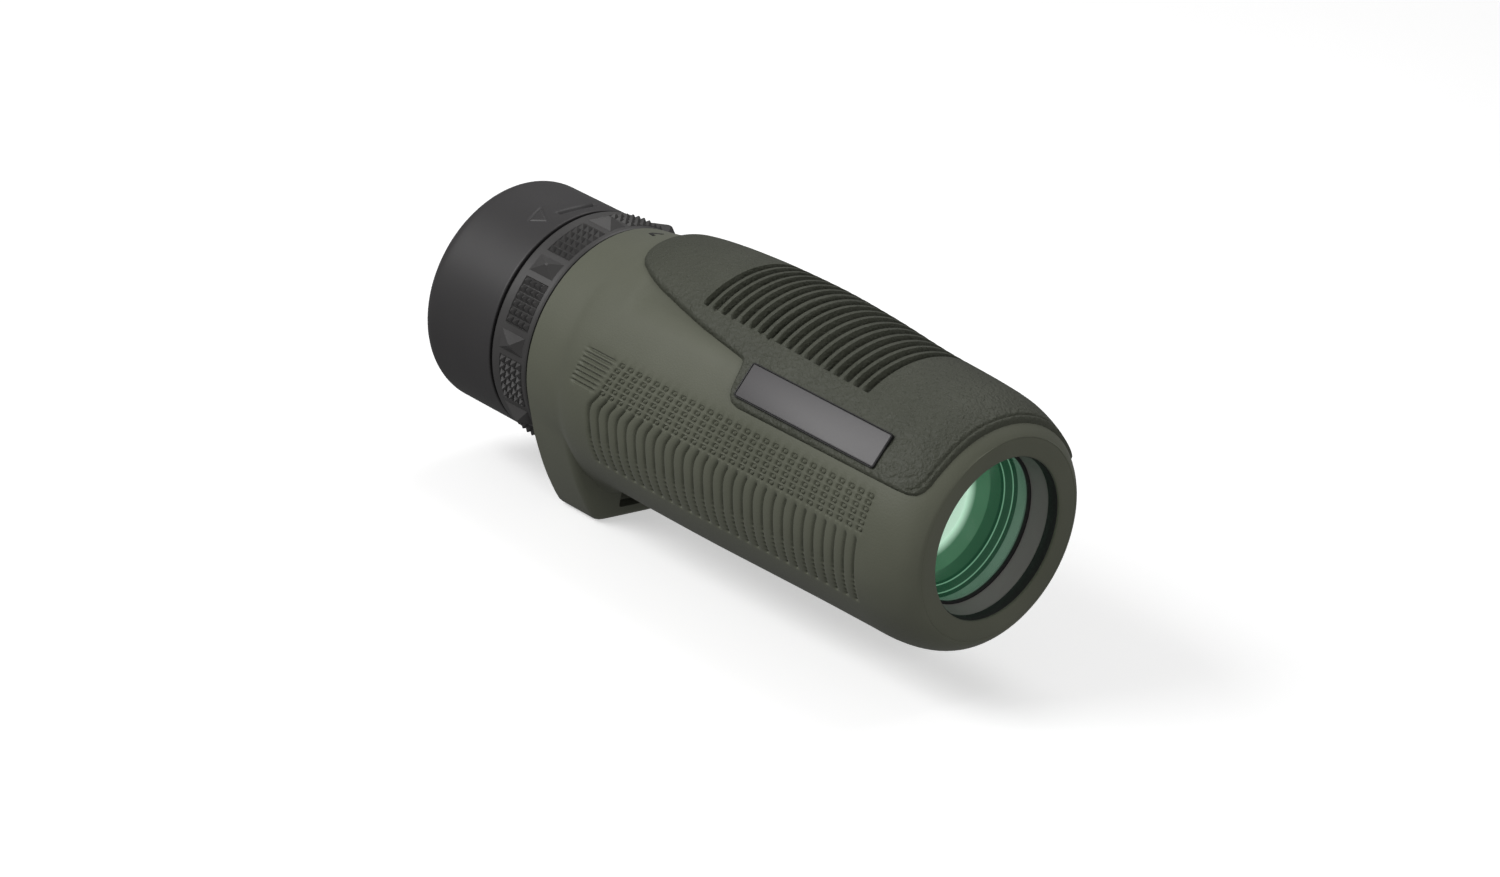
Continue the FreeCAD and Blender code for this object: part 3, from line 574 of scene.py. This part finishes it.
def focus_grip_mesh():
    """The band with its nine raised points and nine knurled pads."""
    verts, faces = focus_band()
    dx = (PAD_X[1] - PAD_X[0]) / PAD_ROWS
    dt = 2 * PAD_HALF_T / PAD_COLS
    wedge_radii = (FOCUS_R - 0.3, FOCUS_R + 0.04, WEDGE_PEAK_R)
    knurl_radii = (FOCUS_R - 0.4, FOCUS_R - PAD_SINK, FOCUS_R + 0.52)
    for k in range(WEDGES):
        t = WEDGE_T0 + SHARE_T * k
        pyramid(verts, faces, WEDGE_X, (t - WEDGE_HALF_T, t + WEDGE_HALF_T), wedge_radii, WEDGE_PEAK_X)
        for i in range(PAD_ROWS):
            for j in range(PAD_COLS):
                x0 = PAD_X[0] + i * dx
                t0 = t + SHARE_T / 2 - PAD_HALF_T + j * dt
                pyramid(verts, faces, (x0 + 0.04, x0 + dx - 0.04), (t0 + 0.12, t0 + dt - 0.12), knurl_radii,
                        x0 + dx / 2)
    return make_object("focus_grip", verts, faces, 12.0)


# ---- eyecup -------------------------------------------------------------------------------------
CUP_REAR, CUP_FRONT, CUP_R = -112.0, -94.7, 19.1
CUP_ROUND = 3.0                             # radius of the rounded eye end
CUP_INNER_R, CUP_FACE_R = 17.0, 12.0
TRIANGLE = [(-101.2, 18.0), (-100.1, 28.7), (-97.4, 23.9)]      # (x, t) of the engraved corners
TRIANGLE_DEPTH, RECESS_DEPTH = 0.17, 0.50


def eyecup_profile():
    """(x, r) loop from the eye end along the outside, back through the inside to the soft lip."""
    bend = np.radians(np.linspace(0, 90, 13))
    rows = [(CUP_REAR + CUP_ROUND * (1 - math.cos(a)), CUP_R - CUP_ROUND * (1 - math.sin(a)))
            for a in bend[:-1]]
    rows += [(x, CUP_R) for x in (-109.0, -108.0, -106.5, -105.0, -103.5, -102.4)]
    rows += [(x, CUP_R) for x in np.arange(-101.9, -95.6, 0.09)]
    rows += [(-95.4, CUP_R), (-95.1, CUP_R), (-94.95, CUP_R), (-94.85, CUP_R - 0.02), (-94.77, CUP_R - 0.07),
             (-94.71, CUP_R - 0.14), (CUP_FRONT, CUP_R - 0.22)]
    rows += [(CUP_FRONT, 18.25), (-95.2, 18.25), (-95.2, CUP_INNER_R), (-108.6, CUP_INNER_R),
             (-108.6, CUP_FACE_R), (-110.0, CUP_FACE_R)]
    lip = np.radians(np.linspace(0, 90, 9))
    rows += [(-110.0 - 1.9 * math.sin(a), CUP_FACE_R + 2.6 * (1 - math.cos(a))) for a in lip[1:]]
    rows += [(CUP_REAR, 14.9)]
    return np.array(rows)


def eyecup_mesh():
    """The cup with an engraved triangle and a short curved finger recess near its front edge."""
    rows = eyecup_profile()
    t = np.concatenate([np.arange(0, 360, 2.0), np.arange(-14, 34, 0.28) % 360])
    t = np.unique(np.round(t, 4))
    x = rows[:, :1] + 0 * t[None, :]
    r = rows[:, 1:2] + 0 * t[None, :]
    signed = np.where(t > 180, t - 360, t)[None, :] + 0 * x
    outside = r > 18.7
    corners = [(cx, ring_mm(ct, CUP_R)) for cx, ct in TRIANGLE + TRIANGLE[:1]]
    near = line_distance(x, ring_mm(signed, CUP_R), corners)
    r = r - np.where(outside, TRIANGLE_DEPTH * np.exp(-(near / 0.17) ** 2), 0.0)
    arc_x = -97.1 - 0.004 * (signed - 4) ** 2
    ends = smoothstep(-9.5, -7.5, signed) * (1 - smoothstep(15.0, 17.0, signed))
    recess = np.exp(-((x - arc_x) / 0.42) ** 2) * ends
    r = r - np.where(outside, RECESS_DEPTH * recess, 0.0)
    return grid_object("eyecup_cup", polar(x, r, t), 35.0)


# ---- objective glass ----------------------------------------------------------------------------
def front_glass(edge_x=-6.12, edge_r=12.1, vertex_x=-4.8, thickness=0.15, rings=14, columns=120):
    """A thin convex window: two spherical faces joined at the edge, each closed by a point."""
    bulge = vertex_x - edge_x
    ball = (edge_r ** 2 + bulge ** 2) / (2 * bulge)
    verts, faces = [(vertex_x, 0.0, 0.0)], []
    t = np.arange(columns) * 360.0 / columns
    radii = edge_r * np.arange(1, rings + 1) / rings
    for r in list(radii) + list(radii[::-1]):
        x = vertex_x - ball + math.sqrt(ball ** 2 - r ** 2)
        back = len(verts) > rings * columns
        verts += polar(np.full_like(t, x - thickness * back), np.full_like(t, r), t).tolist()
    verts.append((vertex_x - thickness, 0.0, 0.0))
    last = len(verts) - 1
    for i in range(columns):
        j = (i + 1) % columns
        faces.append([0, 1 + j, 1 + i])
        for k in range(2 * rings - 1):
            a = 1 + k * columns
            faces.append([a + i, a + j, a + columns + j, a + columns + i])
        faces.append([last, last - columns + i, last - columns + j])
    return make_object("objective_front_glass", verts, faces, 30.0)


# (x, r) of what shows through the glass, then of the back of the stack
LENS_STEPS = [(-6.25, 12.15), (-6.4, 12.5), (-8.5, 12.84), (-9.0, 12.4), (-10.0, 11.5), (-10.5, 11.3),
              (-12.2, 10.7), (-14.5, 8.23), (-14.5, 4.0), (-14.5, 0.02)]
LENS_BACK = [(-14.9, 0.02), (-14.9, 8.6), (-12.6, 11.1), (-10.5, 11.75), (-8.6, 12.88), (-6.3, 12.88)]


def lens_well():
    """Steps seen through the front glass: the ground edge, the cemented joint and the rear faces."""
    return lathe("objective_lens_well", LENS_STEPS + LENS_BACK, 144, 20.0)


# ---- materials ----------------------------------------------------------------------------------
def new_material(name):
    """A node material, its nodes, links and shader, and the object's own coordinates."""
    mat = bpy.data.materials.new(name)
    mat.use_nodes = True
    nodes, links = mat.node_tree.nodes, mat.node_tree.links
    shader = nodes["Principled BSDF"]
    coords = nodes.new("ShaderNodeTexCoord")
    return mat, nodes, links, shader, coords


def noise_node(nodes, links, coords, scale, detail=4.0, roughness=0.55, stretch=None):
    node = nodes.new("ShaderNodeTexNoise")
    node.inputs["Scale"].default_value = scale
    node.inputs["Detail"].default_value = detail
    node.inputs["Roughness"].default_value = roughness
    source = coords.outputs["Object"]
    if stretch:
        mapping = nodes.new("ShaderNodeMapping")
        mapping.inputs["Scale"].default_value = stretch
        links.new(source, mapping.inputs["Vector"])
        source = mapping.outputs["Vector"]
    links.new(source, node.inputs["Vector"])
    return node


def ramp_node(nodes, links, factor, stops):
    """A colour ramp with a stop for each (position, colour). A new ramp already holds two."""
    ramp = nodes.new("ShaderNodeValToRGB")
    elements = ramp.color_ramp.elements
    for i, (position, colour) in enumerate(stops):
        element = elements[i] if i < 2 else elements.new(position)
        element.position = position
        element.color = (*colour, 1.0)
    links.new(factor, ramp.inputs["Fac"])
    return ramp


def leather_bump(nodes, links, coords, normal, scale, depth):
    """Pebbles over the given normal: smooth cells, pushed about a little by noise."""
    warp = noise_node(nodes, links, coords, scale * 0.6, 2.0, 0.5)
    mix = nodes.new("ShaderNodeMixRGB")
    mix.blend_type = "LINEAR_LIGHT"
    mix.inputs["Fac"].default_value = 0.0009
    links.new(coords.outputs["Object"], mix.inputs["Color1"])
    links.new(warp.outputs["Color"], mix.inputs["Color2"])
    cells = nodes.new("ShaderNodeTexVoronoi")
    cells.feature = "SMOOTH_F1"
    cells.inputs["Scale"].default_value = scale
    cells.inputs["Smoothness"].default_value = 0.6
    links.new(mix.outputs["Color"], cells.inputs["Vector"])
    pebbles = nodes.new("ShaderNodeBump")
    pebbles.inputs["Strength"].default_value = 0.9
    pebbles.inputs["Distance"].default_value = depth * MM
    pebbles.invert = True
    links.new(cells.outputs["Distance"], pebbles.inputs["Height"])
    links.new(normal, pebbles.inputs["Normal"])
    return pebbles.outputs["Normal"]


def surface(name, dark, light, rough, patch=18.0, grain=2500.0, grain_depth=0.02, specular=0.5,
            wrinkle=None, metallic=0.0, stretch=None, sheen=0.0):
    """A mottled surface: patchy colour, varied roughness, fine grain, and leather wrinkles if asked."""
    mat, nodes, links, shader, coords = new_material(name)
    mottle = noise_node(nodes, links, coords, patch, 3.0, 0.6)
    ramp = ramp_node(nodes, links, mottle.outputs["Fac"], [(0.32, dark), (0.70, light)])
    links.new(ramp.outputs["Color"], shader.inputs["Base Color"])
    fine = noise_node(nodes, links, coords, grain, 2.0, 0.5, stretch)
    spread = nodes.new("ShaderNodeMapRange")
    spread.inputs["To Min"].default_value = rough[0]
    spread.inputs["To Max"].default_value = rough[1]
    links.new(fine.outputs["Fac"], spread.inputs["Value"])
    links.new(spread.outputs["Result"], shader.inputs["Roughness"])
    bump = nodes.new("ShaderNodeBump")
    bump.inputs["Strength"].default_value = 0.6
    bump.inputs["Distance"].default_value = grain_depth * MM
    links.new(fine.outputs["Fac"], bump.inputs["Height"])
    normal = bump.outputs["Normal"]
    if wrinkle:
        normal = leather_bump(nodes, links, coords, normal, *wrinkle)
    links.new(normal, shader.inputs["Normal"])
    shader.inputs["Specular IOR Level"].default_value = specular
    shader.inputs["Metallic"].default_value = metallic
    if sheen:
        shader.inputs["Sheen Weight"].default_value = sheen
        shader.inputs["Sheen Roughness"].default_value = 0.5
    return mat


def glass(name, colour, alpha, rough=0.02, ior=1.6):
    """Thin tinted glass, faintly hazy."""
    mat, nodes, links, shader, coords = new_material(name)
    haze = noise_node(nodes, links, coords, 60.0, 3.0, 0.5)
    light = tuple(min(1.0, c * 1.15 + 0.01) for c in colour)
    ramp = ramp_node(nodes, links, haze.outputs["Fac"], [(0.3, colour), (0.7, light)])
    links.new(ramp.outputs["Color"], shader.inputs["Base Color"])
    shader.inputs["Roughness"].default_value = rough
    shader.inputs["IOR"].default_value = ior
    shader.inputs["Alpha"].default_value = alpha
    return mat


def glowing_banded_glass(name, start, end, bands):
    """Coated glass whose colour changes in steps along the optical axis, from start to end in mm, and glows
    with that colour as painted light.
    """
    mat, nodes, links, shader, coords = new_material(name)
    split = nodes.new("ShaderNodeSeparateXYZ")
    links.new(coords.outputs["Object"], split.inputs["Vector"])
    spread = nodes.new("ShaderNodeMapRange")
    spread.inputs["From Min"].default_value = start * MM
    spread.inputs["From Max"].default_value = end * MM
    links.new(split.outputs["X"], spread.inputs["Value"])
    stops = [((x - start) / (end - start), colour) for x, colour in bands]
    ramp = ramp_node(nodes, links, spread.outputs["Result"], stops)
    haze = noise_node(nodes, links, coords, 90.0, 2.0)
    veil = nodes.new("ShaderNodeMixRGB")
    veil.blend_type = "SOFT_LIGHT"
    veil.inputs["Fac"].default_value = 0.25
    links.new(ramp.outputs["Color"], veil.inputs["Color1"])
    links.new(haze.outputs["Fac"], veil.inputs["Color2"])
    links.new(veil.outputs["Color"], shader.inputs["Base Color"])
    # the band colour is emitted too: a painted glow that stands in for the light seen in the lens
    links.new(veil.outputs["Color"], shader.inputs["Emission Color"])
    shader.inputs["Emission Strength"].default_value = 0.55
    shader.inputs["Roughness"].default_value = 0.22
    shader.inputs["IOR"].default_value = 1.6
    return mat


GREEN_EDGE = (0.085, 0.150, 0.110)
# painted highlight: thin bright lines on the steps of the lens well
PAINTED_HIGHLIGHT_LINE = (0.18, 0.38, 0.25)
GREEN_DARK = (0.008, 0.045, 0.022)
GREEN_LOW = (0.014, 0.062, 0.031)
GREEN_MID = (0.022, 0.080, 0.041)
GREEN_HIGH = (0.054, 0.160, 0.086)
# painted reflection: the pale and white end of the lens well, a bright light seen in the lens
PAINTED_REFLECTION_PALE = (0.62, 0.92, 0.72)
PAINTED_REFLECTION_WHITE = (1.0, 1.0, 1.0)
WELL_START, WELL_END = -6.2, -15.0
# bands along the axis, all glowing: the line bands are painted highlights, the pale and white end is a
# painted reflection
WELL_BANDS = [(WELL_START, GREEN_EDGE), (-8.42, GREEN_EDGE), (-8.5, GREEN_DARK), (-8.92, GREEN_DARK),
              (-8.97, PAINTED_HIGHLIGHT_LINE), (-9.04, PAINTED_HIGHLIGHT_LINE), (-9.1, GREEN_LOW), (-9.9, GREEN_LOW),
              (-9.95, PAINTED_HIGHLIGHT_LINE), (-10.04, PAINTED_HIGHLIGHT_LINE), (-10.12, GREEN_DARK), (-10.45, GREEN_DARK),
              (-10.6, GREEN_MID), (-12.1, GREEN_MID), (-12.3, GREEN_HIGH), (-13.6, GREEN_HIGH),
              (-14.45, PAINTED_REFLECTION_PALE), (WELL_END, PAINTED_REFLECTION_WHITE)]

MATERIALS = {
    "lens_well": glowing_banded_glass("lens_well", WELL_START, WELL_END, WELL_BANDS),
    "coated_front": glass("coated_front", (0.02, 0.09, 0.05), 0.07, rough=0.03, ior=1.9),
    "armour_rubber": surface("armour_rubber", (0.112, 0.118, 0.086), (0.135, 0.141, 0.105), (0.48, 0.62),
                             patch=40.0, grain=3400.0, grain_depth=0.06, specular=0.35, sheen=0.06),
    "panel_rubber": surface("panel_rubber", (0.058, 0.062, 0.046), (0.078, 0.082, 0.062), (0.50, 0.66),
                            patch=45.0, grain=3200.0, specular=0.35, wrinkle=(1500.0, 0.22)),
    "black_rubber": surface("black_rubber", (0.038, 0.036, 0.037), (0.047, 0.045, 0.046), (0.42, 0.54),
                            patch=35.0, grain=4200.0, grain_depth=0.012),
    "grip_rubber": surface("grip_rubber", (0.050, 0.048, 0.048), (0.066, 0.064, 0.063), (0.36, 0.5),
                           patch=60.0, grain=4200.0, grain_depth=0.012),
    "black_plastic": surface("black_plastic", (0.022, 0.022, 0.023), (0.030, 0.030, 0.031), (0.42, 0.55),
                             grain=3000.0, grain_depth=0.01),
    "plate": surface("plate", (0.082, 0.078, 0.081), (0.094, 0.090, 0.092), (0.36, 0.46), grain=5000.0,
                     grain_depth=0.006, specular=0.4),
    "plate_rim": surface("plate_rim", (0.010, 0.010, 0.010), (0.016, 0.016, 0.016), (0.45, 0.6),
                         grain=3000.0, grain_depth=0.01),
    "aluminium_black": surface("aluminium_black", (0.040, 0.038, 0.039), (0.055, 0.052, 0.053), (0.30, 0.42),
                               grain=900.0, grain_depth=0.01, stretch=(1.0, 0.1, 0.1), specular=0.6),
    "satin_ring": surface("satin_ring", (0.22, 0.195, 0.195), (0.28, 0.25, 0.25), (0.28, 0.40),
                          grain=1500.0, grain_depth=0.008, stretch=(3.0, 0.3, 0.3), specular=0.6),
    "steel": surface("steel", (0.50, 0.50, 0.51), (0.60, 0.60, 0.61), (0.25, 0.4), grain=900.0,
                     grain_depth=0.01, metallic=1.0),
    "seal": surface("seal", (0.012, 0.012, 0.012), (0.018, 0.018, 0.018), (0.5, 0.7), grain=2000.0),
    "ptfe": surface("ptfe", (0.74, 0.74, 0.72), (0.82, 0.82, 0.80), (0.4, 0.5), grain=1500.0),
    "prism_glass": glass("prism_glass", (0.75, 0.82, 0.80), 0.35),
    "lens_glass": glass("lens_glass", (0.10, 0.30, 0.19), 0.45),
}

for entry in frame["record"]["subparts"]:
    node = NODES[entry["node"]]
    node.data.materials.clear()
    node.data.materials.append(MATERIALS[entry["material_slot"]])
    node.data.polygons.foreach_set("material_index", [0] * len(node.data.polygons))


def dress(obj, body, slot, material, *replaced):
    obj.data.materials.append(MATERIALS[material])
    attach(obj, body)
    if replaced:
        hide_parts(*replaced)
    return obj


# ---- build --------------------------------------------------------------------------------------
armour = armour_mesh()
for tunnel, low, high in (("tunnel_front", (-83.3, -3.0, -25.0), (-72.5, 3.0, -20.75)),
                          ("tunnel_foot", (-83.3, -3.0, -28.0), (-78.8, 3.0, -20.75))):
    cut_with(armour, cutter_box(tunnel, low, high, 0.5))
dress(armour, "housing", "armour_rubber", "armour_rubber", "rubber_armour")
dress(panel_mesh(), "housing", "panel_rubber", "panel_rubber", "top_panel")
for word, side in (("right", 1), ("left", -1)):
    plate = plate_piece(f"plate_{word}", side, PLATE_LOOPS, True)
    rim = plate_piece(f"plate_rim_{word}", side, PLATE_RIM_LOOPS, False)
    dress(plate, "housing", "plate", "plate", f"label_plate_{word}")
    dress(rim, "housing", "panel_rubber", "plate_rim")
dress(focus_grip_mesh(), "focus_ring", "black_rubber", "grip_rubber", "focus_ring_grip")
dress(eyecup_mesh(), "eyecup", "black_rubber", "black_rubber", "eyecup_rubber")
dress(front_glass(), "housing", "lens_glass", "coated_front", "objective_crown_lens")
dress(lens_well(), "housing", "lens_glass", "lens_well", "objective_flint_lens")
dress(bore_liner(), "housing", "black_plastic", "seal")
dress(index_mark(), "housing", "armour_rubber", "plate_rim")
NODES["objective_retaining_ring"].data.materials[0] = MATERIALS["satin_ring"]

# ---- stage --------------------------------------------------------------------------------------
FLOOR_HALF, FLOOR_GAP = 3.0, 0.00002        # metres


def plain_floor():
    """Pale paper just below the part, with a little glow of its own so that it stays white."""
    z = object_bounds()[0][2] - FLOOR_GAP
    mesh = bpy.data.meshes.new("floor")
    corners = [(x * FLOOR_HALF, y * FLOOR_HALF, z) for x, y in ((-1, -1), (1, -1), (1, 1), (-1, 1))]
    mesh.from_pydata(corners, [], [(0, 1, 2, 3)])
    obj = bpy.data.objects.new("floor", mesh)
    scene.collection.objects.link(obj)
    mat, nodes, links, shader, coords = new_material("floor_paper")
    tone = noise_node(nodes, links, coords, 4.0)
    greys = [(0.3, (0.84, 0.84, 0.84)), (0.7, (0.86, 0.86, 0.86))]
    ramp = ramp_node(nodes, links, tone.outputs["Fac"], greys)
    links.new(ramp.outputs["Color"], shader.inputs["Base Color"])
    links.new(ramp.outputs["Color"], shader.inputs["Emission Color"])
    shader.inputs["Emission Strength"].default_value = 0.56
    shader.inputs["Roughness"].default_value = 0.9
    shader.inputs["Specular IOR Level"].default_value = 0.1
    obj.data.materials.append(mat)
    obj.visible_diffuse = False
    obj.visible_glossy = False


def softbox(name, position, target, size, power):
    """A rectangular area light aimed at the target, with its power in watts."""
    light = bpy.data.lights.new(name, "AREA")
    light.shape = "RECTANGLE"
    light.size, light.size_y = size
    light.energy = power
    obj = bpy.data.objects.new(name, light)
    scene.collection.objects.link(obj)
    obj.location = position
    obj.rotation_euler = (Vector(target) - Vector(position)).to_track_quat("-Z", "Y").to_euler()
    return obj


plain_floor()
CENTRE = (-0.056, 0.0, 0.0)
RIM_CENTRE = (0.0, 0.0, 0.0)
softbox("light_top", (-0.20, 0.36, 0.76), CENTRE, (0.6, 0.5), 1.9)
softbox("light_near", (-0.32, -0.60, 0.52), CENTRE, (0.45, 0.4), 4.2)
light_front = softbox("light_front", (0.60, -0.28, 0.24), RIM_CENTRE, (0.30, 0.30), 1.3)
light_front.visible_glossy = False      # no reflection of it in the objective

world = bpy.data.worlds.new("studio")
scene.world = world
world.use_nodes = True
background = world.node_tree.nodes["Background"]
background.inputs["Color"].default_value = (1.0, 1.0, 1.0, 1.0)
background.inputs["Strength"].default_value = 0.19
scene.view_settings.view_transform = "Standard"
scene.view_settings.look = "None"

# ---- camera -------------------------------------------------------------------------------------
camera_data = bpy.data.cameras.new("camera")
camera = bpy.data.objects.new("camera", camera_data)
scene.collection.objects.link(camera)
right = Vector((0.684494, 0.713088, 0.151572))
up = Vector((-0.359469, 0.149259, 0.921143))
back = Vector((0.634232, -0.685002, 0.358500))
turn = Matrix((right, up, back)).transposed().to_4x4()
camera.matrix_world = Matrix.Translation(Vector((0.394063, -0.483078, 0.248463))) @ turn
camera_data.lens = 108.0
camera_data.sensor_width = 36.0
camera_data.clip_start = 0.02
camera_data.clip_end = 20.0
scene.camera = camera
